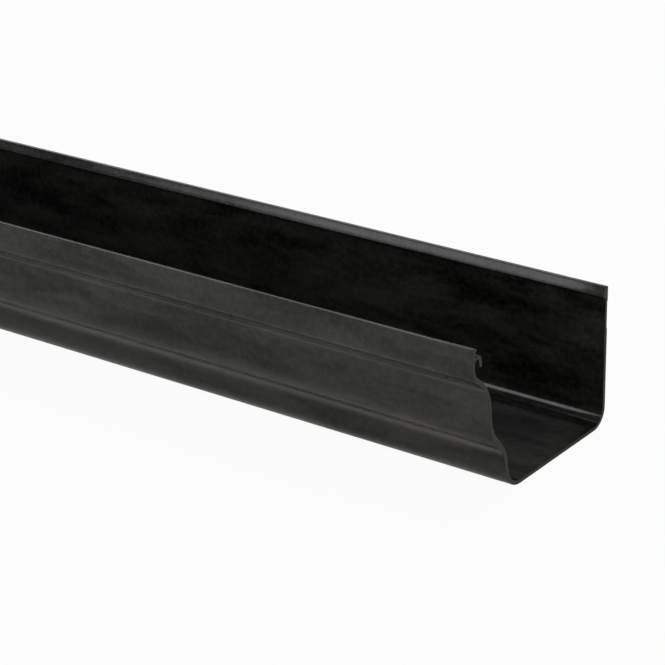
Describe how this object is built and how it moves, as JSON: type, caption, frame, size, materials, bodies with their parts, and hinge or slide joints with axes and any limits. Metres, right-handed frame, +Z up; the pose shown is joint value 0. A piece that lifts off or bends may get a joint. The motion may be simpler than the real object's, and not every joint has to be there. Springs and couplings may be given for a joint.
{
  "type": "ogee rain gutter length",
  "caption": "Straight length of open-topped ogee rain gutter in black rigid plastic, with a moulded front, a flat back, a clip hook inside the front and a snap catch on the back.",
  "frame": {"origin": "middle of the length and of the width, on the level that the flat base rests on", "axes": "+X along the gutter, +Y out of the flat back that lies on the fascia board, so the moulded front faces -Y, and +Z up, out of the open top"},
  "size_m": [2, 0.114, 0.08],
  "materials": {
    "black_plastic": "satin"
  },
  "bodies": {
    "root": {"gutter": "black_plastic"}
  },
  "joints": []
}
